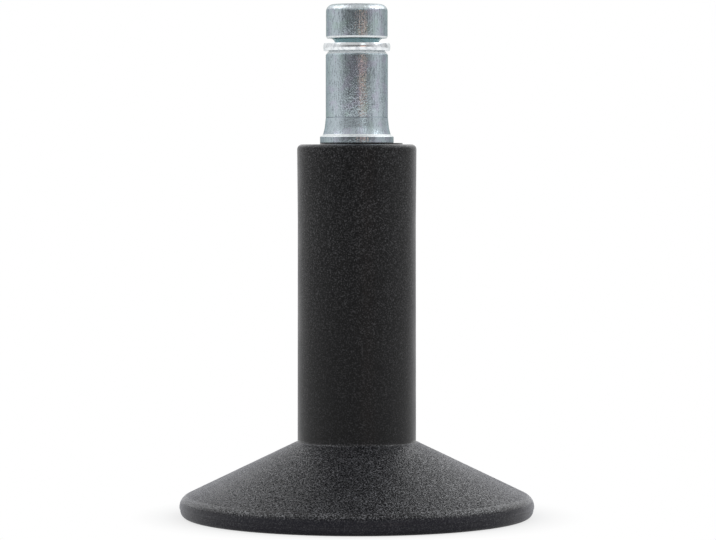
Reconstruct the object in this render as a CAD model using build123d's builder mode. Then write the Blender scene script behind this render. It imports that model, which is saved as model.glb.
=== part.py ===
from build123d import *
from math import cos, radians, sin, tan
import os

# Bell glide for an office chair, in millimetres: a hollow nylon bell and its column in one moulding,
# a plated steel stem pressed into the column, and a loose split ring that grips the chair's socket.
# +Z runs up the stem. The origin is the centre of the ring that stands on the floor.

# Bell, outside
bell_radius = 31.75
cone_slope = 25.8  # degrees above level
shoulder_radius = 2.2  # round between the cone and the rim
rim_land = 0.25  # upright band between the parting line and the round
parting_step = 0.15  # how far the lower mould half stands inside the upper one
skirt_land = 0.05  # upright band under the parting line
foot_edge_radius = 1.6

# Column, outside
column_radius = 10.6
column_height = 66.6
column_edge_radius = 0.9

# Underside
foot_ring_width = 2.4
foot_ring_chamfer = 0.3
shell_wall = 3.0
tube_wall = 3.0
rib_count = 6
rib_thickness = 1.8
rib_recess = 0.6  # ribs and tube stay clear of the floor
rib_root = 1.5  # how far the ribs run into the walls round them
core_radius = 4.5
core_web = 4.9  # left solid between the core and the stem's bore

# Low pad of plastic under the collar, thrown up to one side by the pressed stem
pad_height = 0.25
pad_shift = 0.8

# Stem above the column
shank_radius = 5.55
shank_length = 11.15
collar_stand_out = 1.03
collar_thickness = 1.3
collar_edge_chamfer = 0.25
flare_spread = 0.55
flare_waist = 0.2  # how far the flare still stands outside the shank at its waist
flare_waist_height = 1.3
flare_length = 3.25
shoulder_drop = 0.7
groove_depth = 1.65
neck_round = 1.0  # fillet between the neck and the head
head_radius = 5.5
head_height = 6.05
head_lead_height = 0.3  # steep lead round the head's foot
head_lead_depth = 0.16
head_edge_radius = 1.3

# Spigot, the hidden part of the stem
spigot_length = 20.0
spigot_radius = 4.2
spigot_plain_length = 4.0  # at the tip, without barbs
spigot_tip_chamfer = 0.8
barb_count = 2
barb_pitch = 4.0
barb_height = 0.4
barb_clearance = 0.05  # between the barbs and their bore, all round
bore_end_room = 1.0

# Grip ring
ring_thickness = 1.35
ring_stand_out = 0.43  # past the shank, before the socket squeezes it
ring_clearance = 0.55  # between the ring and the neck, so that the ring can close
ring_bearing = 0.5  # width of shelf that the ring lies on
ring_play = 0.9  # between the ring and the head
ring_crown = 0.12  # how far the ring's outer face falls back towards both edges
ring_crown_height = 0.45
ring_gap = 1.6
ring_gap_angle = 110.0  # degrees from +X

# Flats that stand for each of the smaller rounds, which keeps the mesh light
round_flats = 4

# Bell and column, worked out
skirt_radius = bell_radius - parting_step
foot_radius = skirt_radius - foot_edge_radius
foot_inner_radius = foot_radius - foot_ring_width
parting_height = foot_edge_radius + skirt_land
shoulder_height = parting_height + rim_land
cone_foot_radius = bell_radius - shoulder_radius + shoulder_radius * sin(radians(cone_slope))
cone_foot_height = shoulder_height + shoulder_radius * cos(radians(cone_slope))
column_top_radius = column_radius - column_edge_radius
column_edge_height = column_height - column_edge_radius
tube_radius = core_radius + tube_wall

# Stem and ring, worked out
collar_radius = shank_radius + collar_stand_out
barb_radius = spigot_radius + barb_height
bore_radius = barb_radius + barb_clearance
bore_depth = spigot_length + bore_end_room
neck_radius = shank_radius - groove_depth
ring_radius = shank_radius + ring_stand_out
ring_inner_radius = neck_radius + ring_clearance
ring_edge_radius = ring_radius - ring_crown
seat_height = column_height + pad_height
collar_top = seat_height + collar_thickness
flare_top = collar_top + flare_length
shank_top = flare_top + shank_length
shelf_height = shank_top + shoulder_drop
ring_top = shelf_height + ring_thickness
head_base = ring_top + ring_play
head_top = head_base + head_height
head_top_radius = head_radius - head_edge_radius
head_edge_height = head_top - head_edge_radius


def cone_height(radius):
    """Height of the bell's outer cone at a distance from the axis."""
    return cone_foot_height + (cone_foot_radius - radius) * tan(radians(cone_slope))


def ceiling_height(radius):
    """Height of the cavity's ceiling, one shell wall inside the cone."""
    return cone_height(radius) - shell_wall / cos(radians(cone_slope))


def small_round(center, size, start, end):
    """Corners of the flats that follow a small round of a section, from one angle to another."""
    turns = [radians(start + (end - start) * place / round_flats) for place in range(round_flats + 1)]
    return [(center[0] + size * cos(turn), center[1] + size * sin(turn)) for turn in turns]


with BuildPart() as glide_body:
    # Bell and column, one section turned about the axis
    with BuildSketch(Plane.XZ):
        with BuildLine():
            Polyline(
                (0, 0),
                *small_round((foot_radius, foot_edge_radius), foot_edge_radius, -90, 0),
                (skirt_radius, parting_height),
                (bell_radius, parting_height),
                (bell_radius, shoulder_height),
            )
            TangentArc((bell_radius, shoulder_height), (cone_foot_radius, cone_foot_height), tangent=(0, 1))
            Polyline(
                (cone_foot_radius, cone_foot_height),
                (column_radius, cone_height(column_radius)),
                *small_round((column_top_radius, column_edge_height), column_edge_radius, 0, 90),
                (0, column_height),
                (0, 0),
            )
        make_face()
    revolve()

    # Pad, off centre
    with BuildSketch(Plane.XY.offset(column_height)):
        with Locations((pad_shift, 0)):
            Circle(collar_radius + pad_shift)
    extrude(amount=pad_height)

    # Bore for the spigot
    with BuildSketch(Plane.XY.offset(seat_height)):
        Circle(bore_radius)
    extrude(amount=-bore_depth, mode=Mode.SUBTRACT)

    # Hollow underside, and the core that runs up the column to lighten it
    core_top = seat_height - bore_depth - core_web
    with BuildSketch(Plane.XZ):
        with BuildLine():
            Polyline(
                (0, 0),
                (foot_inner_radius + foot_ring_chamfer, 0),
                (foot_inner_radius, foot_ring_chamfer),
                (foot_inner_radius, ceiling_height(foot_inner_radius)),
                (tube_radius, ceiling_height(tube_radius)),
                (tube_radius, rib_recess),
                (core_radius, rib_recess),
                (core_radius, core_top),
                (0, core_top),
                close=True,
            )
        make_face()
    revolve(mode=Mode.SUBTRACT)

    # Ribs from the tube to the rim, rooted in the tube, the ceiling and the rim
    rib_inner_radius = tube_radius - rib_root
    rib_outer_radius = foot_inner_radius + rib_root
    rib_planes = []
    for turn in range(rib_count):
        angle = radians(360 / rib_count * turn)
        along = (cos(angle), sin(angle), 0)
        across = (sin(angle), -cos(angle), 0)
        rib_planes.append(Plane((0, 0, 0), x_dir=along, z_dir=across))
    with BuildSketch(*rib_planes):
        with BuildLine():
            Polyline(
                (rib_inner_radius, rib_recess),
                (rib_outer_radius, rib_recess),
                (rib_outer_radius, ceiling_height(rib_outer_radius) + rib_root),
                (rib_inner_radius, ceiling_height(rib_inner_radius) + rib_root),
                close=True,
            )
        make_face()
    extrude(amount=rib_thickness / 2, both=True)

with BuildPart() as stem:
    # Barbs widen towards the collar, so that they bite when the stem is pulled
    tip_height = seat_height - spigot_length
    barb_foot = tip_height + spigot_plain_length
    barb_outline = []
    for barb in range(barb_count):
        barb_edge = barb_foot + barb_pitch * (barb + 1)
        barb_outline += [(barb_radius, barb_edge), (spigot_radius, barb_edge)]

    with BuildSketch(Plane.XZ):
        with BuildLine():
            Polyline(
                (0, tip_height),
                (spigot_radius - spigot_tip_chamfer, tip_height),
                (spigot_radius, tip_height + spigot_tip_chamfer),
                (spigot_radius, barb_foot),
                *barb_outline,
                (spigot_radius, seat_height),
                (collar_radius, seat_height),
                (collar_radius, collar_top - collar_edge_chamfer),
                (collar_radius - collar_edge_chamfer, collar_top),
                (shank_radius + flare_spread, collar_top),
                (shank_radius + flare_waist, collar_top + flare_waist_height),
                (shank_radius, flare_top),
                (shank_radius, shank_top),
                (ring_inner_radius + ring_bearing, shelf_height),
                (neck_radius, shelf_height),
                *small_round((neck_radius + neck_round, head_base - neck_round), neck_round, 180, 90),
                (head_radius - head_lead_depth, head_base),
                (head_radius, head_base + head_lead_height),
                *small_round((head_top_radius, head_edge_height), head_edge_radius, 0, 90),
                (0, head_top),
                close=True,
            )
        make_face()
    revolve()

with BuildPart() as grip_ring:
    # Flat above and below, and crowned outside
    with BuildSketch(Plane.XZ):
        with BuildLine():
            Polyline(
                (ring_inner_radius, shelf_height),
                (ring_edge_radius, shelf_height),
                (ring_radius, shelf_height + ring_crown_height),
                (ring_radius, ring_top - ring_crown_height),
                (ring_edge_radius, ring_top),
                (ring_inner_radius, ring_top),
                close=True,
            )
        make_face()
    revolve()

    # Split, so that the ring can close as it enters the socket
    with BuildSketch(Plane.XY.offset(shelf_height)):
        with Locations(Rotation(0, 0, ring_gap_angle)):
            Rectangle(ring_radius * 2, ring_gap, align=(Align.MIN, Align.CENTER))
    extrude(amount=ring_thickness, mode=Mode.SUBTRACT)

glide_body.part.label = "glide_body"
stem.part.label = "stem"
grip_ring.part.label = "grip_ring"

os.makedirs("parts", exist_ok=True)
export_step(glide_body.part, "parts/glide_body.step")
export_step(stem.part, "parts/stem.step")
export_step(grip_ring.part, "parts/grip_ring.step")
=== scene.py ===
"""Bell glide for an office chair: its three pieces at full finish, on a pale floor in soft light.

The black moulding, the plated stem and the grip ring are turned here from the same sizes as the
solids, with a fuller edge at the foot, and with the small rounds, fillets and tool marks that the
solids leave out. Sizes of pieces are in millimetres; the meshes are in metres, in the frame of the
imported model, with +Z up the stem.
"""

import logging
import math
from dataclasses import dataclass, field
from enum import Enum
from typing import Any

import bmesh
import bpy
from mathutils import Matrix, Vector

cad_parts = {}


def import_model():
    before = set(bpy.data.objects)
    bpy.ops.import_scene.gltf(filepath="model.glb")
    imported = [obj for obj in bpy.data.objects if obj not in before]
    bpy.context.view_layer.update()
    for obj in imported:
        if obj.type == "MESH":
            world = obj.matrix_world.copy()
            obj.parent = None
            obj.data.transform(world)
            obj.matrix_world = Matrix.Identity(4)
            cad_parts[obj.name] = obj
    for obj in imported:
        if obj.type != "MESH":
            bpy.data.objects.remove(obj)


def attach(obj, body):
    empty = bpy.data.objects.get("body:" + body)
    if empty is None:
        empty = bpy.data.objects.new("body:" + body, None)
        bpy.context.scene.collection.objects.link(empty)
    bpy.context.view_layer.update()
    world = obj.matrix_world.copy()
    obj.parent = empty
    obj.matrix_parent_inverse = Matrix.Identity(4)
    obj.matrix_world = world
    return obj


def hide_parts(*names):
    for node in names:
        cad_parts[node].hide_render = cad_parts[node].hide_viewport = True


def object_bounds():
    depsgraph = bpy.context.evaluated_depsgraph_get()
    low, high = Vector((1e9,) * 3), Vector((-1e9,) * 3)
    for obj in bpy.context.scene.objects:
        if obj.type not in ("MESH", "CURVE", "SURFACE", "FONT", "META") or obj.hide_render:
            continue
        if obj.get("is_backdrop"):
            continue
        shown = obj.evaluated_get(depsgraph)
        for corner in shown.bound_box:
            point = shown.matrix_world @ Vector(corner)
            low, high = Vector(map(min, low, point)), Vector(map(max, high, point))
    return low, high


log = logging.getLogger("chair_glide")

MM = 0.001
ROOT = "root"

Socket = bpy.types.NodeSocket
Colour = tuple[float, float, float]
Scale = tuple[float, float, float]
Point = tuple[float, float]

# A ramp says where a value starts and ends, and what it is carried to at each. A band says where
# something starts and ends, and how soft both ends are.
Ramp = tuple[float, float, float, float]
Band = tuple[float, float, float]


class Edge(Enum):
    """How light breaks over a ring of the turned skin."""

    FLOWING = "flowing"
    CRISP = "crisp"


class Slot(Enum):
    """Material slots of the record."""

    NYLON = "black_nylon"
    ZINC = "zinc_plated_steel"
    SPRING = "spring_steel"


# Turning


@dataclass(frozen=True)
class Corner:
    """A corner of a turned section.

    Attributes:
        radius: distance from the axis, in mm.
        height: height above the floor, in mm.
        blend: radius of the round or fillet that takes the corner off, in mm.
        shift: how far the turning centre lies towards +X there, in mm.
    """

    radius: float
    height: float
    blend: float = 0.0
    shift: float = 0.0


@dataclass(frozen=True)
class Station:
    """One ring of the turned skin.

    Attributes:
        radius: distance from the axis, in mm.
        height: height above the floor, in mm.
        shift: how far the ring's centre lies towards +X, in mm.
        edge: how light breaks over it.
    """

    radius: float
    height: float
    shift: float
    edge: Edge


class TurnedSection:
    """A section with rounded corners, ready to be turned about the axis.

    Attributes:
        ARC_STEP: the most that one facet of a round turns, in radians.
        STRAIGHT: the opening from which a corner is taken for straight, in radians.
        ON_AXIS: the radius under which a ring is a single point, in mm.
    """

    ARC_STEP = math.radians(9)
    STRAIGHT = math.pi - 1e-4
    ON_AXIS = 1e-6

    def __init__(self, corners: list[Corner], closed: bool = False) -> None:
        """Takes the corners in order.

        Args:
            corners: the section's corners, from one end to the other.
            closed: True where the last corner joins the first, as round a ring.
        """
        self.corners = corners
        self.closed = closed

    def stations(self) -> list[Station]:
        """Works out the rings of the skin.

        Returns:
            The stations, in the order of the corners.
        """
        found: list[Station] = []
        count = len(self.corners)
        for place, corner in enumerate(self.corners):
            at_end = not self.closed and place in (0, count - 1)
            if at_end or corner.blend <= 0:
                found.append(Station(corner.radius, corner.height, corner.shift, Edge.CRISP))
            else:
                before = self.corners[place - 1]
                after = self.corners[(place + 1) % count]
                found += self._blended(before, corner, after)
        return found

    def _blended(self, before: Corner, corner: Corner, after: Corner) -> list[Station]:
        """Follows the arc that takes a corner off.

        Args:
            before: the corner before it.
            corner: the corner itself.
            after: the corner after it.

        Returns:
            The stations along the arc, both its ends among them.
        """
        tip = Vector((corner.radius, corner.height))
        back = (Vector((before.radius, before.height)) - tip).normalized()
        on = (Vector((after.radius, after.height)) - tip).normalized()
        opening = back.angle(on)
        if opening > self.STRAIGHT:
            return [Station(corner.radius, corner.height, corner.shift, Edge.FLOWING)]
        reach = corner.blend / math.tan(opening / 2)
        centre = tip + (back + on).normalized() * (corner.blend / math.sin(opening / 2))
        start = tip + back * reach - centre
        end = tip + on * reach - centre
        turn = start.angle_signed(end)
        steps = max(2, math.ceil(abs(turn) / self.ARC_STEP))
        angle = math.atan2(start.y, start.x)
        arc = []
        for step in range(steps + 1):
            at = angle - turn * step / steps
            spot = centre + Vector((math.cos(at), math.sin(at))) * corner.blend
            arc.append(Station(spot.x, spot.y, corner.shift, Edge.FLOWING))
        return arc

    def turn(self, mesh: bmesh.types.BMesh, segments: int) -> None:
        """Turns the section right round the axis.

        Args:
            mesh: the mesh that takes the skin.
            segments: how many facets go round.
        """
        stations = self.stations()
        rings = [self._ring(mesh, station, segments) for station in stations]
        for lower, upper in zip(rings, rings[1:]):
            for place in range(segments):
                after = (place + 1) % segments
                corners = [lower[place % len(lower)], lower[after % len(lower)]]
                corners += [upper[after % len(upper)], upper[place % len(upper)]]
                face = mesh.faces.new(dict.fromkeys(corners))
                face.smooth = True
        for ring, station in zip(rings, stations):
            if station.edge is Edge.CRISP and len(ring) > 1:
                self._crease(mesh, ring)

    def _ring(self, mesh: bmesh.types.BMesh, station: Station, segments: int) -> list[bmesh.types.BMVert]:
        """Adds one ring of points, or the single point where the skin meets the axis.

        Args:
            mesh: the mesh that takes the points.
            station: where the ring lies.
            segments: how many points go round.

        Returns:
            The new points.
        """
        if station.radius < self.ON_AXIS:
            return [mesh.verts.new((0, 0, station.height * MM))]
        ring = []
        for place in range(segments):
            turn = math.tau * place / segments
            x = station.shift + station.radius * math.cos(turn)
            y = station.radius * math.sin(turn)
            ring.append(mesh.verts.new((x * MM, y * MM, station.height * MM)))
        return ring

    @staticmethod
    def _crease(mesh: bmesh.types.BMesh, ring: list[bmesh.types.BMVert]) -> None:
        """Marks a ring's edges, so that shading breaks there.

        Args:
            mesh: the mesh that the ring is in.
            ring: the ring's points.
        """
        for first, second in zip(ring, ring[1:] + ring[:1]):
            edge = mesh.edges.get((first, second))
            if edge is not None:
                edge.smooth = False


def finish_mesh(name: str, mesh: bmesh.types.BMesh, material: bpy.types.Material) -> bpy.types.Object:
    """Makes an object of a finished mesh.

    Args:
        name: the piece's name.
        mesh: its mesh, which is used up.
        material: its finish.

    Returns:
        The object, linked to the scene.
    """
    bmesh.ops.recalc_face_normals(mesh, faces=mesh.faces[:])
    data = bpy.data.meshes.new(name)
    mesh.to_mesh(data)
    mesh.free()
    data.materials.append(material)
    piece = bpy.data.objects.new(name, data)
    bpy.context.scene.collection.objects.link(piece)
    return piece


# Finishes


@dataclass(frozen=True)
class Pattern:
    """Soft noise of one size.

    Attributes:
        scale: lumps in one mm.
        detail: how many finer layers it has.
        roughness: how strong those layers are.
        stretch: how much closer the lumps lie along each axis, where they aren't round.
    """

    scale: float
    detail: float = 2.0
    roughness: float = 0.5
    stretch: Scale | None = None


class NodeBench:
    """Lays out the nodes of one material or of the world."""

    def __init__(self, tree: bpy.types.NodeTree) -> None:
        """Clears the tree."""
        self.tree = tree
        self.tree.nodes.clear()

    def add(self, kind: str, **settings: Any) -> bpy.types.Node:
        """Adds a node.

        Args:
            kind: the node's type, without the word ShaderNode.
            **settings: its properties.

        Returns:
            The new node.
        """
        node = self.tree.nodes.new("ShaderNode" + kind)
        for key, value in settings.items():
            setattr(node, key, value)
        return node

    def feed(self, socket: Socket, value: Any) -> None:
        """Links an output to a socket, or sets the socket to a plain value.

        Args:
            socket: the socket.
            value: an output, a number, a vector, or a colour.
        """
        if isinstance(value, Socket):
            self.tree.links.new(value, socket)
        elif isinstance(value, tuple) and len(value) == 3 and socket.type == "RGBA":
            socket.default_value = (*value, 1.0)
        else:
            socket.default_value = value

    def calc(self, operation: str, *values: Any) -> Socket:
        """Does one step of arithmetic.

        Args:
            operation: what is done.
            *values: what it is done with.

        Returns:
            The result.
        """
        node = self.add("Math", operation=operation)
        for socket, value in zip(node.inputs, values):
            self.feed(socket, value)
        return node.outputs[0]

    def chain(self, operation: str, first: Any, *others: Any) -> Socket:
        """Does one kind of arithmetic all along a row of values.

        Args:
            operation: what is done.
            first: the first value.
            *others: the values that are worked into it, in order.

        Returns:
            The result.
        """
        result = first
        for value in others:
            result = self.calc(operation, result, value)
        return result

    def plus(self, *values: Any) -> Socket:
        """Adds values."""
        return self.chain("ADD", *values)

    def minus(self, *values: Any) -> Socket:
        """Takes values off the first of them."""
        return self.chain("SUBTRACT", *values)

    def times(self, *values: Any) -> Socket:
        """Multiplies values."""
        return self.chain("MULTIPLY", *values)

    def span(self, value: Any, low: float, high: float, start: float = 0.0, end: float = 1.0) -> Socket:
        """Carries a value smoothly from one range to another.

        Args:
            value: what is carried.
            low: where it starts.
            high: where it ends.
            start: the result at low.
            end: the result at high.

        Returns:
            The result.
        """
        node = self.add("MapRange", interpolation_type="SMOOTHSTEP")
        for socket, setting in zip(node.inputs, (value, low, high, start, end)):
            self.feed(socket, setting)
        return node.outputs["Result"]

    def band(self, value: Any, low: float, high: float, soft: float) -> Socket:
        """Tells whether a value is between two limits.

        Args:
            value: the value.
            low: the lower limit.
            high: the upper limit.
            soft: how far each limit is softened to both sides.

        Returns:
            1 between the limits and 0 outside them.
        """
        rising = self.span(value, low - soft, low + soft)
        falling = self.span(value, high - soft, high + soft, 1.0, 0.0)
        return self.times(rising, falling)

    def blend(self, share: Any, first: Any, second: Any) -> Socket:
        """Mixes two colours.

        Args:
            share: how much of the second one shows, from 0 to 1.
            first: the first colour.
            second: the second colour.

        Returns:
            The mixed colour.
        """
        node = self.add("Mix", data_type="RGBA", clamp_factor=True)
        sockets = {socket.identifier: socket for socket in node.inputs}
        self.feed(sockets["Factor_Float"], share)
        self.feed(sockets["A_Color"], first)
        self.feed(sockets["B_Color"], second)
        return next(output for output in node.outputs if output.identifier == "Result_Color")

    def coats(self, base: Any, *layers: tuple[Any, Any]) -> Socket:
        """Lays coats of colour over a base.

        Args:
            base: the base's colour.
            *layers: how much of each coat shows, and its colour, from the lowest coat up.

        Returns:
            The colour that shows.
        """
        for share, colour in layers:
            base = self.blend(share, base, colour)
        return base

    def stretch(self, vector: Any, scale: Scale) -> Socket:
        """Scales a vector along its axes.

        Args:
            vector: the vector.
            scale: how much longer it gets along each axis.

        Returns:
            The scaled vector.
        """
        node = self.add("Mapping")
        self.feed(node.inputs["Vector"], vector)
        self.feed(node.inputs["Scale"], scale)
        return node.outputs[0]

    def seen_directly(self, mirrored_share: Any = 1.0) -> Socket:
        """Tells apart the rays that see a thing from those that only bring its light.

        Args:
            mirrored_share: how much a ray that was mirrored or passed on counts, from 0 to 1.

        Returns:
            1 for rays from the camera, and that share for mirrored and passed-on ones.
        """
        path = self.add("LightPath")
        mirrored = self.calc("MAXIMUM", path.outputs["Is Glossy Ray"], path.outputs["Is Transmission Ray"])
        return self.calc("MAXIMUM", path.outputs["Is Camera Ray"], self.times(mirrored, mirrored_share))


class SurfaceBench(NodeBench):
    """Lays out the nodes of a finish, which is looked up by its place on the glide.

    Attributes:
        material: the material.
        point: the place, in mm.
        height: its height above the floor, in mm.
        radius: its distance from the axis, in mm.
    """

    def __init__(self, name: str) -> None:
        """Starts the material.

        Args:
            name: the material's name.
        """
        self.material = bpy.data.materials.new(name)
        self.material.use_nodes = True
        super().__init__(self.material.node_tree)
        spot = self.add("TexCoord").outputs["Object"]
        self.point = self.stretch(spot, (1 / MM, 1 / MM, 1 / MM))
        parts = self.add("SeparateXYZ")
        self.feed(parts.inputs[0], self.point)
        x, y, self.height = parts.outputs
        self.radius = self.calc("SQRT", self.plus(self.calc("POWER", x, 2.0), self.calc("POWER", y, 2.0)))

    def noise(self, pattern: Pattern) -> Socket:
        """Looks up a pattern.

        Args:
            pattern: the pattern.

        Returns:
            Its value, about 0.5 on average.
        """
        node = self.add("TexNoise")
        point = self.stretch(self.point, pattern.stretch) if pattern.stretch else self.point
        self.feed(node.inputs["Vector"], point)
        self.feed(node.inputs["Scale"], pattern.scale)
        self.feed(node.inputs["Detail"], pattern.detail)
        self.feed(node.inputs["Roughness"], pattern.roughness)
        return node.outputs[0]

    def relief(self, height: Any, depth: float, strength: Any = 1.0, over: Any = None) -> Socket:
        """Turns a height into relief of the surface.

        Args:
            height: the height, from 0 to 1.
            depth: what 1 stands for, in mm.
            strength: how much of it shows.
            over: relief that this one lies on.

        Returns:
            The new normal.
        """
        node = self.add("Bump")
        self.feed(node.inputs["Height"], height)
        self.feed(node.inputs["Distance"], depth * MM)
        self.feed(node.inputs["Strength"], strength)
        if over is not None:
            self.feed(node.inputs["Normal"], over)
        return node.outputs[0]

    def close(self, surface: Socket) -> bpy.types.Material:
        """Ends the material with what its surface is, and gives it."""
        self.feed(self.add("OutputMaterial").inputs["Surface"], surface)
        return self.material

    def shade(self, inputs: dict[str, Any]) -> bpy.types.Material:
        """Ends the material with the general shader.

        Args:
            inputs: what goes into the shader's inputs, by their names.

        Returns:
            The finished material.
        """
        shader = self.add("BsdfPrincipled")
        for name, value in inputs.items():
            self.feed(shader.inputs[name], value)
        return self.close(shader.outputs[0])


@dataclass(frozen=True)
class MouldedNylon:
    """Black nylon from a spark-eroded mould: a hard grain with pale worn tops, and a smoother rim.

    Attributes:
        pigment: the colour in the hollows of the grain.
        rim_tint: the colour of the smoother rim.
        scuffed: the matt colour of the foot's edge, which floors have scuffed; the gloss and sheen it loses
            are partly a painted shade where it meets the floor.
        fleck: the colour of the grain's worn tops.
        grain: the fine grain.
        lumps: the grain's broader lumps.
        cloud: broad patches over both.
        grain_depth: depth of the grain on the cone, in mm.
        worn_lumps: wear of the lumps, by their height.
        worn_grain: wear of the fine grain, by its height.
        worn_patches: how that wear varies over the cloud.
        highlight_bands: edges where pale specks are painted as highlights, in mm of height.
        highlight_grain: the painted highlight's specks, by the fine grain's height.
        highlight_patches: how those specks vary over the cloud.
        roughness: roughness over the cloud.
        worn_polish: how much smoother the worn tops are.
        highlight_polish: how much smoother the edges with the painted highlight are.
        gloss: specular level, on average.
        highlight_gloss: specular level of the edges with the painted highlight.
        least_gloss: the lowest that the level gets.
        grain_gloss: how the level falls in the grain's hollows and rises on its tops.
        edge_on_gloss: share of the gloss that is left as the surface turns edge-on.
        cone_sheen: how strongly the cone's grain catches grazing light.
        column_sheen: how strongly the column's does.
        sheen_spread: how widely that light spreads.
        sheen_tint: the colour of that light.
        refraction: index of refraction.
        seam: the line where the halves of the mould meet, in mm of height.
        seam_matt: share of the gloss that the seam takes away.
        scuff_and_shade: how scuffed and dull the foot's edge is, partly a painted shade where it meets the
            floor, by height in mm.
        rim: where the smoother rim gives way to the cone, by height in mm.
        bell_grain: strength of the grain on the bell, by height in mm.
        column_grain: strength of the grain on the column, by height in mm.
        column_start: where the bell gives way to the column, by height in mm.
        cone_rise: how steeply the cone rises towards the axis.
        cone_skin: share of the grain under and on the cone, by where its slope meets the axis, in mm.
        rim_skin: the same at the rim, by distance from the axis in mm.
    """

    pigment: Colour = (0.0030, 0.0030, 0.0036)
    rim_tint: Colour = (0.0090, 0.0088, 0.0140)
    # The foot's edge: scuffed matt, and partly a painted shade where it meets the floor.
    scuffed: Colour = (0.0200, 0.0196, 0.0250)
    fleck: Colour = (0.125, 0.126, 0.136)
    grain: Pattern = Pattern(4.6, detail=1.0)
    lumps: Pattern = Pattern(2.3, roughness=0.6)
    cloud: Pattern = Pattern(0.14)
    grain_depth: float = 0.055
    worn_lumps: Ramp = (0.52, 0.70, 0.0, 0.4)
    worn_grain: Ramp = (0.54, 0.70, 0.0, 0.9)
    worn_patches: Ramp = (0.30, 0.70, 0.6, 1.0)
    # Edges where pale specks are painted as highlights: the shoulder, the column's foot and its top edge.
    highlight_bands: tuple[Band, ...] = ((3.0, 3.9, 0.15), (13.38, 13.80, 0.15), (66.3, 66.9, 0.15))
    highlight_grain: Ramp = (0.50, 0.62, 0.0, 1.0)
    highlight_patches: Ramp = (0.42, 0.58, 0.0, 0.6)
    roughness: Ramp = (0.3, 0.7, 0.33, 0.41)
    worn_polish: float = 0.10
    highlight_polish: float = 0.08
    gloss: float = 0.28
    highlight_gloss: float = 0.392
    least_gloss: float = 0.02
    grain_gloss: Ramp = (0.36, 0.66, -0.26, 0.26)
    edge_on_gloss: Ramp = (0.86, 0.98, 1.0, 0.35)
    cone_sheen: float = 0.42
    column_sheen: float = 0.10
    sheen_spread: float = 0.28
    sheen_tint: Colour = (0.86, 0.88, 1.0)
    refraction: float = 1.5
    seam: Band = (1.55, 1.83, 0.05)
    seam_matt: float = 0.3
    scuff_and_shade: Ramp = (0.2, 1.85, 0.85, 0.0)
    rim: Ramp = (2.4, 3.4, 1.0, 0.0)
    bell_grain: Ramp = (2.5, 3.3, 0.30, 1.1)
    column_grain: Ramp = (13.5, 60.0, 0.18, 0.40)
    column_start: Ramp = (13.45, 13.7, 0.0, 1.0)
    cone_rise: float = 0.4834
    cone_skin: Ramp = (16.63, 17.43, 0.1, 1.0)
    rim_skin: Ramp = (29.7, 30.3, 0.0, 1.0)

    def material(self) -> bpy.types.Material:
        """Makes the material.

        Returns:
            The finished material.
        """
        bench = SurfaceBench("moulded_black_nylon")
        grain, lumps, cloud = bench.noise(self.grain), bench.noise(self.lumps), bench.noise(self.cloud)
        on_column = bench.span(bench.height, *self.column_start)
        strength = self.grain_strength(bench, on_column)
        painted_highlight = self.painted_highlight(bench)
        # The foot's edge: scuffed and dulled, partly a painted shade where it meets the floor.
        scuff_and_shade = bench.span(bench.height, *self.scuff_and_shade)
        seam = bench.times(bench.band(bench.height, *self.seam), self.seam_matt)
        polished = bench.minus(1.0, bench.plus(seam, scuff_and_shade))

        worn = bench.plus(bench.span(lumps, *self.worn_lumps), bench.span(grain, *self.worn_grain))
        worn = bench.times(worn, bench.span(cloud, *self.worn_patches), strength)
        # Painted highlight: pale specks along those edges, joined to the worn tops.
        highlight_specks = bench.times(painted_highlight, bench.span(cloud, *self.highlight_patches))
        worn = bench.plus(worn, bench.times(highlight_specks, bench.span(grain, *self.highlight_grain)))

        shine = bench.times(bench.span(grain, *self.grain_gloss), strength)
        shine = bench.plus(shine, bench.span(painted_highlight, 0.0, 1.0, self.gloss, self.highlight_gloss))
        edge_on = bench.span(bench.add("LayerWeight").outputs["Facing"], *self.edge_on_gloss)
        shine = bench.times(shine, polished, edge_on)

        polish = bench.times(worn, self.worn_polish), bench.times(painted_highlight, self.highlight_polish)
        sheen = bench.span(on_column, 0.0, 1.0, self.cone_sheen, self.column_sheen)
        rim = bench.span(bench.height, *self.rim)
        layers = (rim, self.rim_tint), (scuff_and_shade, self.scuffed), (worn, self.fleck)
        relief = bench.relief(lumps, self.grain_depth, strength)
        return bench.shade({
            "Base Color": bench.coats(self.pigment, *layers),
            "Roughness": bench.minus(bench.span(cloud, *self.roughness), *polish),
            "IOR": self.refraction,
            "Specular IOR Level": bench.calc("MAXIMUM", shine, self.least_gloss),
            "Sheen Weight": bench.times(sheen, polished),
            "Sheen Roughness": self.sheen_spread,
            "Sheen Tint": self.sheen_tint,
            "Normal": bench.relief(grain, self.grain_depth / 2, strength, relief),
        })

    def grain_strength(self, bench: SurfaceBench, on_column: Any) -> Socket:
        """Works out how strong the grain is: full on the cone, less elsewhere, and hardly any inside.

        Args:
            bench: the material's nodes.
            on_column: 1 on the column and 0 on the bell.

        Returns:
            The strength, about 1 on the cone.
        """
        on_bell = bench.times(bench.span(bench.height, *self.bell_grain), bench.minus(1.0, on_column))
        up_column = bench.times(bench.span(bench.height, *self.column_grain), on_column)
        over_axis = bench.plus(bench.height, bench.times(bench.radius, self.cone_rise))
        on_skin = bench.span(over_axis, *self.cone_skin)
        on_skin = bench.calc("MAXIMUM", on_skin, bench.span(bench.radius, *self.rim_skin))
        return bench.times(bench.plus(on_bell, up_column), on_skin)

    def painted_highlight(self, bench: SurfaceBench) -> Socket:
        """Gives 1 on the edges with a painted highlight and 0 elsewhere."""
        return bench.plus(*(bench.band(bench.height, *band) for band in self.highlight_bands))


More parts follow.
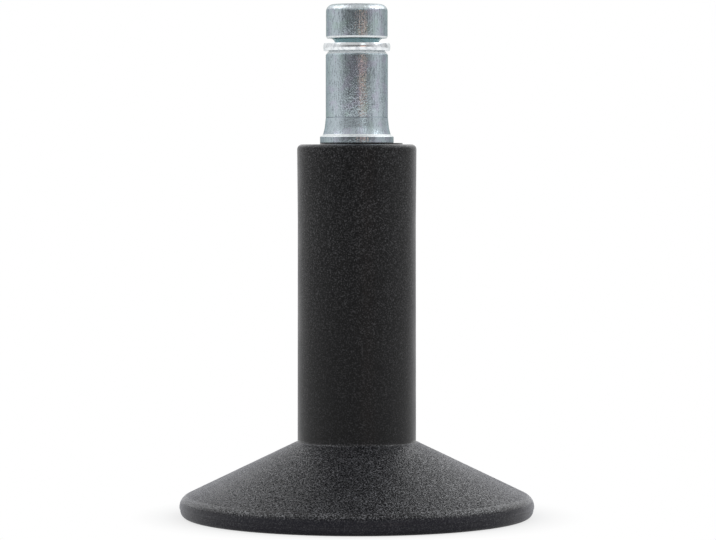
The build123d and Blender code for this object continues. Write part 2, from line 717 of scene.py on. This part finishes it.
@dataclass(frozen=True)
class ZincPlate:
    """Bright zinc plate over a turned pin: bluish, mottled and streaked, with painted highlights at its
    edges.

    Attributes:
        bright: the plate's colour.
        dull: its colour in the streaks.
        violet: the chromate's tint in thin places.
        green: its tint in thick ones.
        groove_tint_and_bounce: the chromate's blue in the groove, lightened as painted light for what the
            ring bounces into it.
        groove_shade: painted shade in the round under the head.
        flare_lit: a lighter colour painted on the flare, as painted light that its upturned face catches.
        painted_highlight: the near-white colour painted on those edges as highlights.
        glint: the tint of its gloss.
        glint_level: specular level, where it isn't plain metal.
        streaks: streaks along the pin.
        mottle: fine mottle.
        cloud: broad patches.
        drawn: long marks of drawing.
        cut: fine marks round the pin, from turning.
        streak_wear: dullness of the streaks.
        mottle_wear: dullness of the mottle.
        thin_film: share of the violet over the cloud.
        thick_film: share of the green over the cloud.
        groove: the groove, in mm of height.
        groove_floor: share of the groove's finish, by distance from the axis in mm.
        under_head: share of the groove's shade, by height in mm.
        groove_milk: how milky the groove is.
        flare: the flare, in mm of height.
        flare_lit_share: share of that painted lighter colour there.
        flare_satin: how much rougher it is.
        collar: share of dullness on the collar, by height in mm.
        turned_line: the line where two cuts of the tool meet, in mm of height.
        highlight_bands: each edge with a painted highlight, in mm of height, and how bright it is painted.
        highlight_milk: how milky, not metal, the painted highlights are.
        highlight_satin: how much rougher they are.
        roughness: roughness over the cloud.
        streak_depth: depth of the streaks, in mm.
        mottle_depth: depth of the mottle, in mm.
        shank_relief: share of that depth below and above the turned line, by height in mm.
        drawn_depth: depth of the drawing marks, in mm.
        head_drawing: share of that depth below and on the head, by height in mm.
        collar_drawing: what the collar has of it besides, by height in mm.
        cut_depth: depth of the turning marks, in mm.
        cut_share: how much of them shows.
    """

    bright: Colour = (0.52, 0.60, 0.645)
    dull: Colour = (0.25, 0.29, 0.32)
    violet: Colour = (0.50, 0.48, 0.60)
    green: Colour = (0.44, 0.56, 0.53)
    # The groove's chromate blue, lightened as painted bounce light, and the painted shade under the head.
    groove_tint_and_bounce: Colour = (0.66, 0.95, 1.0)
    groove_shade: Colour = (0.16, 0.28, 0.28)
    # Painted light on the flare's upturned face.
    flare_lit: Colour = (0.66, 0.75, 0.81)
    # A near-white painted highlight for the edges.
    painted_highlight: Colour = (0.90, 0.93, 0.94)
    glint: Colour = (0.42, 0.47, 0.47)
    glint_level: float = 0.1
    streaks: Pattern = Pattern(1.0, roughness=0.6, stretch=(3.8, 3.8, 0.7))
    mottle: Pattern = Pattern(4.2, roughness=0.6, stretch=(1.0, 1.0, 0.7))
    cloud: Pattern = Pattern(0.45)
    drawn: Pattern = Pattern(1.0, stretch=(1.5, 1.5, 0.14))
    cut: Pattern = Pattern(1.0, detail=1.0, stretch=(0.05, 0.05, 9.0))
    streak_wear: Ramp = (0.42, 0.62, 0.0, 1.0)
    mottle_wear: Ramp = (0.35, 0.65, 0.0, 1.0)
    thin_film: Ramp = (0.52, 0.68, 0.0, 0.5)
    thick_film: Ramp = (0.32, 0.46, 0.5, 0.0)
    groove: Band = (83.3, 85.45, 0.05)
    groove_floor: Ramp = (4.9, 5.1, 1.0, 0.0)
    under_head: Ramp = (85.10, 85.45, 0.0, 1.0)
    groove_milk: float = 0.85
    flare: Band = (68.2, 71.4, 0.1)
    flare_lit_share: float = 0.22
    flare_satin: float = 0.07
    collar: Ramp = (67.9, 68.2, 0.35, 0.0)
    turned_line: Band = (71.31, 71.49, 0.04)
    # Painted highlights: the collar's top edge, the shoulder under the ring, the head's foot and its top.
    highlight_bands: tuple[tuple[Band, float], ...] = (
        ((67.93, 68.4, 0.04), 1.0),
        ((82.7, 83.26, 0.04), 1.0),
        ((85.51, 85.81, 0.04), 1.0),
        ((90.6, 91.7, 0.04), 0.45),
    )
    highlight_milk: float = 0.5
    highlight_satin: float = 0.18
    roughness: Ramp = (0.3, 0.7, 0.10, 0.18)
    streak_depth: float = 0.030
    mottle_depth: float = 0.037
    shank_relief: Ramp = (71.3, 71.5, 0.7, 1.0)
    drawn_depth: float = 0.09
    head_drawing: Ramp = (85.4, 85.6, 0.25, 1.0)
    collar_drawing: Ramp = (67.9, 68.2, 1.2, 0.0)
    cut_depth: float = 0.004
    cut_share: float = 0.6

    def material(self) -> bpy.types.Material:
        """Makes the material.

        Returns:
            The finished material.
        """
        bench = SurfaceBench("zinc_plate")
        streaks, mottle, cloud = bench.noise(self.streaks), bench.noise(self.mottle), bench.noise(self.cloud)
        edges, in_groove = self.highlight_edges(bench), self.in_groove(bench)
        on_flare = bench.band(bench.height, *self.flare)

        worn = bench.times(bench.span(streaks, *self.streak_wear), bench.span(mottle, *self.mottle_wear))
        # Painted shade: the groove darkens towards the head's underside.
        shaded = bench.span(bench.height, *self.under_head)
        base = bench.coats(
            self.bright,
            (worn, self.dull),
            (bench.span(cloud, *self.thin_film), self.violet),
            (bench.span(cloud, *self.thick_film), self.green),
            # The groove: the chromate's blue lightened as painted bounce light, then painted shade under the
            # head.
            (in_groove, bench.blend(shaded, self.groove_tint_and_bounce, self.groove_shade)),
            # The flare painted lighter, for the light that its upturned face catches.
            (bench.times(on_flare, self.flare_lit_share), self.flare_lit),
            (bench.span(bench.height, *self.collar), self.dull),
            (bench.band(bench.height, *self.turned_line), self.dull),
            # Painted highlights on the edges.
            (edges, self.painted_highlight),
        )
        milky = bench.plus(bench.times(in_groove, self.groove_milk), bench.times(edges, self.highlight_milk))
        satin = bench.plus(bench.times(edges, self.highlight_satin), bench.times(on_flare, self.flare_satin))
        return bench.shade({
            "Base Color": base,
            "Metallic": bench.minus(1.0, milky),
            "Roughness": bench.plus(bench.span(cloud, *self.roughness), satin),
            "Specular IOR Level": self.glint_level,
            "Specular Tint": self.glint,
            "Normal": self.relief(bench, streaks, mottle),
        })

    def relief(self, bench: SurfaceBench, streaks: Any, mottle: Any) -> Socket:
        """Works out the relief that the tools and the bath have left.

        Args:
            bench: the material's nodes.
            streaks: the streaks.
            mottle: the mottle.

        Returns:
            The surface's normal.
        """
        share = bench.span(bench.height, *self.shank_relief)
        ramps = (self.head_drawing, self.collar_drawing)
        drawing = bench.plus(*(bench.span(bench.height, *ramp) for ramp in ramps))
        relief = bench.relief(bench.noise(self.drawn), self.drawn_depth, drawing)
        relief = bench.relief(streaks, self.streak_depth, share, relief)
        relief = bench.relief(mottle, self.mottle_depth, share, relief)
        return bench.relief(bench.noise(self.cut), self.cut_depth, self.cut_share, relief)

    def highlight_edges(self, bench: SurfaceBench) -> Socket:
        """Gives how bright the painted highlight is on each edge, and 0 elsewhere."""
        edges = [(bench.band(bench.height, *band), share) for band, share in self.highlight_bands]
        return bench.plus(*(bench.times(*edge) for edge in edges))

    def in_groove(self, bench: SurfaceBench) -> Socket:
        """Gives 1 in the groove and 0 elsewhere."""
        deep = bench.span(bench.radius, *self.groove_floor)
        return bench.times(bench.band(bench.height, *self.groove), deep)


@dataclass(frozen=True)
class SpringSteel:
    """Polished spring wire, rolled flat, with fine lines round it.

    Attributes:
        colour: the steel's colour.
        dull: its colour in dull spots.
        glint: the tint of its gloss.
        lines: fine lines round the ring.
        spots: dull spots.
        dulling: how dull the spots are.
        roughness: roughness over the spots.
        line_depth: depth of the lines, in mm.
    """

    colour: Colour = (0.90, 0.93, 0.95)
    dull: Colour = (0.66, 0.69, 0.73)
    glint: Colour = (0.72, 0.74, 0.74)
    lines: Pattern = Pattern(1.0, stretch=(0.3, 0.3, 14.0))
    spots: Pattern = Pattern(1.6)
    dulling: Ramp = (0.45, 0.7, 0.0, 1.0)
    roughness: Ramp = (0.3, 0.7, 0.12, 0.20)
    line_depth: float = 0.004

    def material(self) -> bpy.types.Material:
        """Makes the material.

        Returns:
            The finished material.
        """
        bench = SurfaceBench("spring_steel")
        spots = bench.noise(self.spots)
        return bench.shade({
            "Base Color": bench.blend(bench.span(spots, *self.dulling), self.colour, self.dull),
            "Metallic": 1.0,
            "Roughness": bench.span(spots, *self.roughness),
            "Specular Tint": self.glint,
            "Normal": bench.relief(bench.noise(self.lines), self.line_depth),
        })


@dataclass(frozen=True)
class PaleFloor:
    """A seamless white sweep, which shows the glide's own shadow close round its foot.

    Attributes:
        colour: the sweep's own colour.
        whiteness: how far it is plain white, by distance from the axis in mm.
    """

    colour: Colour = (0.80, 0.80, 0.80)
    whiteness: Ramp = (30.0, 42.0, 0.72, 1.0)

    def material(self) -> bpy.types.Material:
        """Makes the material.

        Returns:
            The finished material.
        """
        bench = SurfaceBench("pale_floor")
        matt, glow, mix = bench.add("BsdfDiffuse"), bench.add("Emission"), bench.add("MixShader")
        bench.feed(matt.inputs["Color"], self.colour)
        bench.feed(glow.inputs["Strength"], 1.0)
        white = bench.times(bench.seen_directly(), bench.span(bench.radius, *self.whiteness))
        for socket, value in zip(mix.inputs, (white, matt.outputs[0], glow.outputs[0])):
            bench.feed(socket, value)
        return bench.close(mix.outputs[0])


# The glide's own pieces


@dataclass
class GlideBody:
    """The black moulding: bell, column, and the ribbed hollow under the bell. Sizes in mm.

    Attributes:
        cone_slope: the cone's slope, in degrees above level.
        rim_land: upright band between the parting line and the shoulder's round.
        skirt_radius: radius of the rim below the parting line.
        foot_ring_width: width of the flat ring that stands on the floor.
        mouth_swell: how much wider the column is at the top.
        waist_height: where the column is slimmest.
        waist_draw: how much slimmer it is there.
        waist_bend: radius of its bend there.
        pad_radius: radius of the low pad under the stem's collar.
        pad_height: height of the pad over the column.
        pad_shift: how far the pad lies towards +X.
        bore_depth: depth of the stem's bore, from the pad's top.
        core_height: height of the hollow core's ceiling.
        shell_wall: wall under the cone.
        ceiling_fillet: fillets in the hollow.
        rib_recess: how far the ribs and the tube stay clear of the floor.
        rib_root: how far the ribs run into the walls round them.
        rib_edge: round at a rib's lower edges.
        rib_lift: how far the ribs stay above the tube's foot.
    """

    bell_radius: float = 31.75
    cone_slope: float = 25.8
    shoulder_round: float = 2.2
    rim_land: float = 0.25
    skirt_radius: float = 31.6
    parting_height: float = 1.65
    parting_fillet: float = 0.02
    parting_round: float = 0.05
    foot_round: float = 1.3
    foot_ring_width: float = 2.7
    foot_inner_round: float = 0.3
    column_radius: float = 10.6
    column_height: float = 66.6
    column_round: float = 0.9
    column_foot_fillet: float = 0.35
    mouth_swell: float = 0.06
    waist_height: float = 53.0
    waist_draw: float = 0.05
    waist_bend: float = 60.0
    pad_radius: float = 7.38
    pad_height: float = 0.25
    pad_shift: float = 0.8
    pad_fillet: float = 0.05
    pad_round: float = 0.06
    bore_radius: float = 4.65
    bore_depth: float = 21.0
    bore_mouth_round: float = 0.05
    bore_end_fillet: float = 0.2
    core_radius: float = 4.5
    core_height: float = 40.95
    core_end_fillet: float = 0.3
    core_mouth_round: float = 0.15
    tube_radius: float = 7.5
    tube_round: float = 0.2
    shell_wall: float = 3.0
    ceiling_fillet: float = 1.0
    rib_count: int = 6
    rib_thickness: float = 1.8
    rib_recess: float = 0.6
    rib_root: float = 1.5
    rib_edge: float = 0.2
    rib_lift: float = 0.03
    facets_round: int = 240
    finish: MouldedNylon = field(default_factory=MouldedNylon)

    @property
    def foot_inner_radius(self) -> float:
        """Radius of the foot ring's inner edge."""
        return self.skirt_radius - self.foot_round - self.foot_ring_width

    def cone_height(self, radius: float) -> float:
        """Works out the cone's height.

        Args:
            radius: distance from the axis, in mm.

        Returns:
            The height there, in mm.
        """
        shoulder = self.shoulder_round * math.tan(math.radians(90 - self.cone_slope) / 2)
        top = self.parting_height + self.rim_land + shoulder
        return top + (self.bell_radius - radius) * math.tan(math.radians(self.cone_slope))

    def ceiling_height(self, radius: float) -> float:
        """Height of the hollow's ceiling at a distance from the axis."""
        return self.cone_height(radius) - self.shell_wall / math.cos(math.radians(self.cone_slope))

    def underside(self) -> list[Corner]:
        """Gives the corners of the core, the tube and the hollow.

        Returns:
            Corners from the axis out to the foot ring.
        """
        tube, inner = self.tube_radius, self.foot_inner_radius
        return [
            Corner(0, self.core_height),
            Corner(self.core_radius, self.core_height, self.core_end_fillet),
            Corner(self.core_radius, self.rib_recess, self.core_mouth_round),
            Corner(tube, self.rib_recess, self.tube_round),
            Corner(tube, self.ceiling_height(tube), self.ceiling_fillet),
            Corner(inner, self.ceiling_height(inner), self.ceiling_fillet),
            Corner(inner, 0, self.foot_inner_round),
        ]

    def outside(self) -> list[Corner]:
        """Gives the corners that show.

        Returns:
            Corners from the foot ring up the bell and the column to the stem's bore.
        """
        skirt, bell, column = self.skirt_radius, self.bell_radius, self.column_radius
        mouth = column + self.mouth_swell
        parting, top = self.parting_height, self.column_height
        pad_top = top + self.pad_height
        bore_end = pad_top - self.bore_depth
        return [
            Corner(skirt, 0, self.foot_round),
            Corner(skirt, parting, self.parting_fillet),
            Corner(bell, parting, self.parting_round),
            Corner(bell, self.cone_height(bell), self.shoulder_round),
            Corner(column, self.cone_height(column), self.column_foot_fillet),
            Corner(column - self.waist_draw, self.waist_height, self.waist_bend),
            Corner(mouth, top, self.column_round),
            Corner(self.pad_radius, top, self.pad_fillet, self.pad_shift),
            Corner(self.pad_radius, pad_top, self.pad_round, self.pad_shift),
            Corner(self.bore_radius, pad_top, self.bore_mouth_round),
            Corner(self.bore_radius, bore_end, self.bore_end_fillet),
            Corner(0, bore_end),
        ]

    def add_rib(self, mesh: bmesh.types.BMesh, turn: float) -> None:
        """Adds one rib, from the tube to the rim.

        Args:
            mesh: the moulding's mesh.
            turn: the rib's direction, in radians from +X.
        """
        inner = self.tube_radius - self.rib_root
        outer = self.foot_inner_radius + self.rib_root
        along = Vector((math.cos(turn), math.sin(turn), 0))
        across = Vector((-along.y, along.x, 0)) * (self.rib_thickness / 2)
        low = self.rib_recess + self.rib_lift
        outline = [
            (inner, low),
            (outer, low),
            (outer, self.ceiling_height(outer) + self.rib_root),
            (inner, self.ceiling_height(inner) + self.rib_root),
        ]
        sides = []
        for side in (-1, 1):
            spots = [along * radius + across * side + Vector((0, 0, height)) for radius, height in outline]
            sides.append([mesh.verts.new(spot * MM) for spot in spots])
        near, far = sides
        faces = [mesh.faces.new(near), mesh.faces.new(far[::-1])]
        for place in range(len(outline)):
            after = (place + 1) % len(outline)
            faces.append(mesh.faces.new((near[place], far[place], far[after], near[after])))
        lower = [mesh.edges.get((side[0], side[1])) for side in sides]
        bmesh.ops.bevel(mesh, geom=lower, offset=self.rib_edge * MM, segments=3, profile=0.5, affect="EDGES")

    def build(self) -> bpy.types.Object:
        """Builds and dresses the moulding.

        Returns:
            The piece.
        """
        mesh = bmesh.new()
        TurnedSection(self.underside() + self.outside()).turn(mesh, self.facets_round)
        for rib in range(self.rib_count):
            self.add_rib(mesh, math.tau * rib / self.rib_count)
        piece = finish_mesh("glide_moulding", mesh, self.finish.material())
        return fit_piece(piece, "glide_body", Slot.NYLON)


@dataclass
class GripStem:
    """The plated pin: head, groove, shank, flare, collar and barbed spigot. Sizes in mm.

    Attributes:
        shelf_radius: outer radius of the shelf that the ring lies on.
        head_base: height of the head's foot.
        head_lead: how far the lead round the head's foot goes in and up.
        head_lead_rounds: rounds below and above that lead.
        collar_lead: how far the collar's upper edge goes in and down.
        collar_lead_rounds: rounds below and above that edge.
        flare_radius: the flare's radius at its foot.
        flare_waist: radius and height of its waist.
        flare_bend: radius of its bend there.
        flare_top: height at which it meets the shank, in the tool's line.
        seat_height: height of the collar's foot.
        spigot_round: rounds at the spigot's lead and under its first barb.
        spigot_lead: chamfer at its tip.
        barb_root_fillet: fillet behind each barb.
        barb_foot: height at which the first barb starts.
        barb_pitch: length of each barb.
    """

    shank_radius: float = 5.55
    shank_top: float = 82.55
    shank_round: float = 0.15
    shelf_radius: float = 4.95
    shelf_height: float = 83.25
    shelf_round: float = 0.05
    neck_radius: float = 3.9
    neck_foot_fillet: float = 0.08
    neck_fillet: float = 1.0
    head_base: float = 85.5
    head_top: float = 91.55
    head_radius: float = 5.5
    head_round: float = 1.3
    head_lead: Point = (0.16, 0.3)
    head_lead_rounds: Point = (0.04, 0.3)
    collar_radius: float = 6.58
    collar_top: float = 68.15
    collar_foot_round: float = 0.10
    collar_lead: Point = (0.25, 0.2)
    collar_lead_rounds: Point = (0.16, 0.14)
    flare_radius: float = 6.10
    flare_foot_fillet: float = 0.18
    flare_waist: Point = (5.75, 69.45)
    flare_bend: float = 5.0
    flare_top: float = 71.4
    tool_line_depth: float = 0.03
    tool_line_width: float = 0.12
    tool_line_round: float = 0.05
    seat_height: float = 66.85
    spigot_radius: float = 4.2
    spigot_round: float = 0.3
    spigot_tip: float = 46.85
    spigot_tip_round: float = 0.15
    spigot_lead: float = 0.8
    barb_radius: float = 4.6
    barb_round: float = 0.04
    barb_root_fillet: float = 0.1
    barb_foot: float = 50.85
    barb_pitch: float = 4.0
    barb_count: int = 2
    facets_round: int = 192
    finish: ZincPlate = field(default_factory=ZincPlate)

    def spigot(self) -> list[Corner]:
        """Gives the corners of the part pressed into the column.

        Returns:
            Corners from the tip up to the collar's foot.
        """
        spigot, tip, root = self.spigot_radius, self.spigot_tip, self.barb_root_fillet
        corners = [
            Corner(0, tip),
            Corner(spigot - self.spigot_lead, tip, self.spigot_tip_round),
            Corner(spigot, tip + self.spigot_lead, self.spigot_round),
            Corner(spigot, self.barb_foot, self.spigot_round),
        ]
        for barb in range(self.barb_count):
            edge = self.barb_foot + self.barb_pitch * (barb + 1)
            corners += [Corner(self.barb_radius, edge, self.barb_round), Corner(spigot, edge, root)]
        return corners + [Corner(spigot, self.seat_height, root)]

    def collar_and_shank(self) -> list[Corner]:
        """Gives the corners of the collar, the flare and the shank, with the line between two cuts.

        Returns:
            Corners from the collar's foot up to the shelf under the ring.
        """
        shank, line, line_round = self.shank_radius, self.flare_top, self.tool_line_round
        cut, half = shank - self.tool_line_depth, self.tool_line_width / 2
        collar, top = self.collar_radius, self.collar_top
        depth, drop = self.collar_lead
        lower_round, upper_round = self.collar_lead_rounds
        return [
            Corner(collar, self.seat_height, self.collar_foot_round),
            Corner(collar, top - drop, lower_round),
            Corner(collar - depth, top, upper_round),
            Corner(self.flare_radius, top, self.flare_foot_fillet),
            Corner(*self.flare_waist, self.flare_bend),
            Corner(shank, line - half, line_round),
            Corner(cut, line, line_round),
            Corner(shank, line + half, line_round),
            Corner(shank, self.shank_top, self.shank_round),
            Corner(self.shelf_radius, self.shelf_height, self.shelf_round),
        ]

    def head(self) -> list[Corner]:
        """Gives the corners of the neck and the head.

        Returns:
            Corners from the shelf up to the middle of the head's top.
        """
        head = self.head_radius
        depth, rise = self.head_lead
        lower_round, upper_round = self.head_lead_rounds
        return [
            Corner(self.neck_radius, self.shelf_height, self.neck_foot_fillet),
            Corner(self.neck_radius, self.head_base, self.neck_fillet),
            Corner(head - depth, self.head_base, lower_round),
            Corner(head, self.head_base + rise, upper_round),
            Corner(head, self.head_top, self.head_round),
            Corner(0, self.head_top),
        ]

    def build(self) -> bpy.types.Object:
        """Builds and dresses the stem.

        Returns:
            The piece.
        """
        mesh = bmesh.new()
        section = TurnedSection(self.spigot() + self.collar_and_shank() + self.head())
        section.turn(mesh, self.facets_round)
        piece = finish_mesh("grip_stem", mesh, self.finish.material())
        return fit_piece(piece, "stem", Slot.ZINC)


@dataclass
class GripRing:
    """The split spring ring that lies in the stem's groove. Sizes in mm.

    Attributes:
        outer_radius: radius before a socket squeezes the ring.
        crown: how far the outer face falls back at both edges, and over what height.
        crown_round: round at either side of the crown.
        gap_direction: where the split lies, in degrees from +X.
    """

    inner_radius: float = 4.45
    outer_radius: float = 5.98
    foot_height: float = 83.25
    thickness: float = 1.35
    crown: Point = (0.12, 0.45)
    crown_round: float = 1.0
    edge_round: float = 0.08
    gap: float = 1.6
    gap_direction: float = 110.0
    facets_round: int = 160
    finish: SpringSteel = field(default_factory=SpringSteel)

    def section(self) -> TurnedSection:
        """Gives the wire's section.

        Returns:
            The section, as a closed loop.
        """
        low, high = self.foot_height, self.foot_height + self.thickness
        depth, rise = self.crown
        edge = self.outer_radius - depth
        corners = [
            Corner(self.inner_radius, low, self.edge_round),
            Corner(edge, low, self.edge_round),
            Corner(self.outer_radius, low + rise, self.crown_round),
            Corner(self.outer_radius, high - rise, self.crown_round),
            Corner(edge, high, self.edge_round),
            Corner(self.inner_radius, high, self.edge_round),
        ]
        return TurnedSection(corners, closed=True)

    def slice(self, mesh: bmesh.types.BMesh, share: float) -> list[bmesh.types.BMVert]:
        """Adds the wire's section at one place along it; both ends stay square to the gap.

        Args:
            mesh: the ring's mesh.
            share: how far round the ring it lies, from 0 to 1.

        Returns:
            The section's points.
        """
        points = []
        for station in self.section().stations():
            half_gap = math.asin(self.gap / 2 / station.radius)
            turn = math.radians(self.gap_direction) + half_gap + share * (math.tau - 2 * half_gap)
            x, y = station.radius * math.cos(turn), station.radius * math.sin(turn)
            points.append(mesh.verts.new((x * MM, y * MM, station.height * MM)))
        return points

    def build(self) -> bpy.types.Object:
        """Builds and dresses the ring.

        Returns:
            The piece.
        """
        mesh = bmesh.new()
        slices = [self.slice(mesh, place / self.facets_round) for place in range(self.facets_round + 1)]
        for first, second in zip(slices, slices[1:]):
            for place in range(len(first)):
                after = (place + 1) % len(first)
                face = mesh.faces.new((first[place], first[after], second[after], second[place]))
                face.smooth = True
        for end in (slices[0], slices[-1]):
            mesh.faces.new(end)
        piece = finish_mesh("split_ring", mesh, self.finish.material())
        return fit_piece(piece, "grip_ring", Slot.SPRING)


def fit_piece(piece: bpy.types.Object, node: str, slot: Slot) -> bpy.types.Object:
    """Puts a finished piece in the place of its solid.

    Args:
        piece: the piece.
        node: the solid that it stands for.
        slot: the record's slot for its finish; not used.

    Returns:
        The same piece.
    """
    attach(piece, ROOT)
    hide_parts(node)
    return piece


# Studio


@dataclass(frozen=True)
class SoftLamp:
    """A rectangular lamp turned towards the glide.

    Attributes:
        name: its name.
        bearing: where it stands, in degrees from the front towards +X.
        rise: how high it stands, in degrees above level.
        distance: how far away it stands, in metres.
        width: its width, in metres.
        height: its height, in metres.
        glow: how bright its face is.
        colour: the colour of its light.
    """

    name: str
    bearing: float
    rise: float
    distance: float
    width: float
    height: float
    glow: float
    colour: Colour = (0.96, 0.98, 1.0)

    def hang(self, target: Vector) -> None:
        """Hangs the lamp.

        Args:
            target: the point that it faces.
        """
        lamp = bpy.data.lights.new(self.name, "AREA")
        lamp.shape = "RECTANGLE"
        lamp.size, lamp.size_y = self.width, self.height
        lamp.energy = self.glow * math.pi * self.width * self.height
        lamp.color = self.colour
        bearing, rise = math.radians(self.bearing), math.radians(self.rise)
        level = math.cos(rise)
        out = Vector((math.sin(bearing) * level, -math.cos(bearing) * level, math.sin(rise)))
        hung = bpy.data.objects.new(self.name, lamp)
        hung.location = target + out * self.distance
        hung.rotation_euler = (-out).to_track_quat("-Z", "Y").to_euler()
        hung.visible_camera = False
        bpy.context.scene.collection.objects.link(hung)


def grey(level: float) -> Colour:
    """Gives the grey of a level."""
    return (level, level, level)


@dataclass
class Studio:
    """The pale floor, the soft light round the glide and the camera in front of it.

    The room's light is a level for each direction, where 1 is white. Heights and depths of the room
    are on a ball of radius 1 round the glide, and depth grows towards the back.

    Attributes:
        floor_radius: radius of the floor, in metres.
        floor_facets: how many edges it has.
        front_level: light from the front.
        above_level: light from higher up in front.
        side_level: light from the sides.
        back_level: light from behind.
        top_level: light from the top.
        above_reach: heights between which the light from higher up takes over.
        side_reach: depths between which the sides' light takes over.
        back_reach: depths between which the light from behind takes over.
        back_lean: how much further forward these are towards +X.
        top_reach: heights between which the top's light takes over.
        wall_reach: depths between which the white wall takes over.
        wall_lean: how much further forward these are higher up.
        wall_top: how the wall ends, by height.
        lamps: the lamps.
        lens: the camera's focal length, in mm.
        film_width: width of the camera's film, in mm.
        clip: the nearest and furthest that the camera sees, in metres.
        camera_place: where the camera stands, in metres.
        camera_dip: how far it looks down, in degrees.
    """

    floor_radius: float = 1.2
    floor_facets: int = 96
    front_level: float = 0.17
    above_level: float = 0.62
    side_level: float = 0.80
    back_level: float = 0.55
    top_level: float = 0.28
    above_reach: Point = (0.12, 0.40)
    side_reach: Point = (-0.97, -0.15)
    back_reach: Point = (0.10, 0.85)
    back_lean: float = 0.3
    top_reach: Point = (0.60, 0.90)
    wall_reach: Point = (0.62, 0.86)
    wall_lean: float = 0.4
    wall_top: Ramp = (0.60, 0.84, 1.0, 0.0)
    lamps: tuple[SoftLamp, ...] = (
        SoftLamp("left_lamp", -94, 50, 0.60, 0.55, 0.40, 1.30),
        SoftLamp("right_lamp", 98, 46, 0.60, 0.55, 0.40, 1.60),
        SoftLamp("left_back_lamp", -150, 34, 0.60, 0.36, 0.26, 0.35),
        SoftLamp("right_back_lamp", 146, 36, 0.60, 0.44, 0.30, 0.75),
        SoftLamp("overhead_lamp", 0, 82, 0.60, 0.60, 0.60, 0.42),
        SoftLamp("warm_card", 21, 4.2, 0.80, 0.26, 0.06, 1.3, (1.0, 0.58, 0.43)),
        SoftLamp("window_card", 24, 26, 0.80, 0.22, 0.22, 0.72, (0.92, 1.0, 1.0)),
    )
    lens: float = 161.12
    film_width: float = 36.0
    clip: Point = (0.01, 20.0)
    camera_place: tuple[float, float, float] = (0.00021, -0.5725, 0.0646)
    camera_dip: float = 2.0443

    def build_sky(self) -> None:
        """Sets the world: a white wall behind, where it is seen or mirrored, and a dim room in front."""
        world = bpy.data.worlds.new("studio")
        bpy.context.scene.world = world
        world.use_nodes = True
        bench = NodeBench(world.node_tree)
        parts = bench.add("SeparateXYZ")
        bench.feed(parts.inputs[0], bench.add("TexCoord").outputs["Generated"])
        across, depth, rise = parts.outputs
        to_back = bench.plus(depth, bench.times(across, self.back_lean))
        to_wall = bench.plus(depth, bench.times(rise, self.wall_lean))
        wall = bench.times(bench.span(to_wall, *self.wall_reach), bench.span(rise, *self.wall_top))
        light = bench.coats(
            grey(self.front_level),
            (bench.span(rise, *self.above_reach), grey(self.above_level)),
            (bench.span(depth, *self.side_reach), grey(self.side_level)),
            (bench.span(to_back, *self.back_reach), grey(self.back_level)),
            (bench.span(rise, *self.top_reach), grey(self.top_level)),
            (bench.seen_directly(wall), grey(1.0)),
        )
        sky = bench.add("Background")
        bench.feed(sky.inputs["Color"], light)
        bench.feed(bench.add("OutputWorld").inputs["Surface"], sky.outputs[0])

    def lay_floor(self) -> None:
        """Lays the floor, as one round sheet."""
        mesh = bmesh.new()
        bmesh.ops.create_circle(mesh, cap_ends=True, radius=self.floor_radius, segments=self.floor_facets)
        floor = finish_mesh("floor", mesh, PaleFloor().material())
        floor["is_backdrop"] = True

    def set_camera(self) -> None:
        """Sets the camera at the front, a little above the middle."""
        data = bpy.data.cameras.new("camera")
        data.sensor_width, data.lens = self.film_width, self.lens
        data.clip_start, data.clip_end = self.clip
        camera = bpy.data.objects.new("camera", data)
        camera.location = self.camera_place
        camera.rotation_euler = (math.radians(90 - self.camera_dip), 0, 0)
        bpy.context.scene.collection.objects.link(camera)
        bpy.context.scene.camera = camera

    def build(self, low: Vector, high: Vector) -> None:
        """Sets up the whole studio.

        Args:
            low: the glide's lowest corner.
            high: its highest corner.
        """
        self.build_sky()
        self.lay_floor()
        for lamp in self.lamps:
            lamp.hang((low + high) / 2)
        self.set_camera()
        bpy.context.scene.view_settings.view_transform = "Standard"


def main() -> None:
    """Builds the glide and its studio."""
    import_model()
    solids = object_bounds()
    for maker in (GlideBody(), GripStem(), GripRing()):
        piece = maker.build()
        log.info("%s: %d faces", piece.name, len(piece.data.polygons))
    Studio().build(*solids)


if __name__ == "__main__":
    logging.basicConfig(level=logging.INFO)
    main()
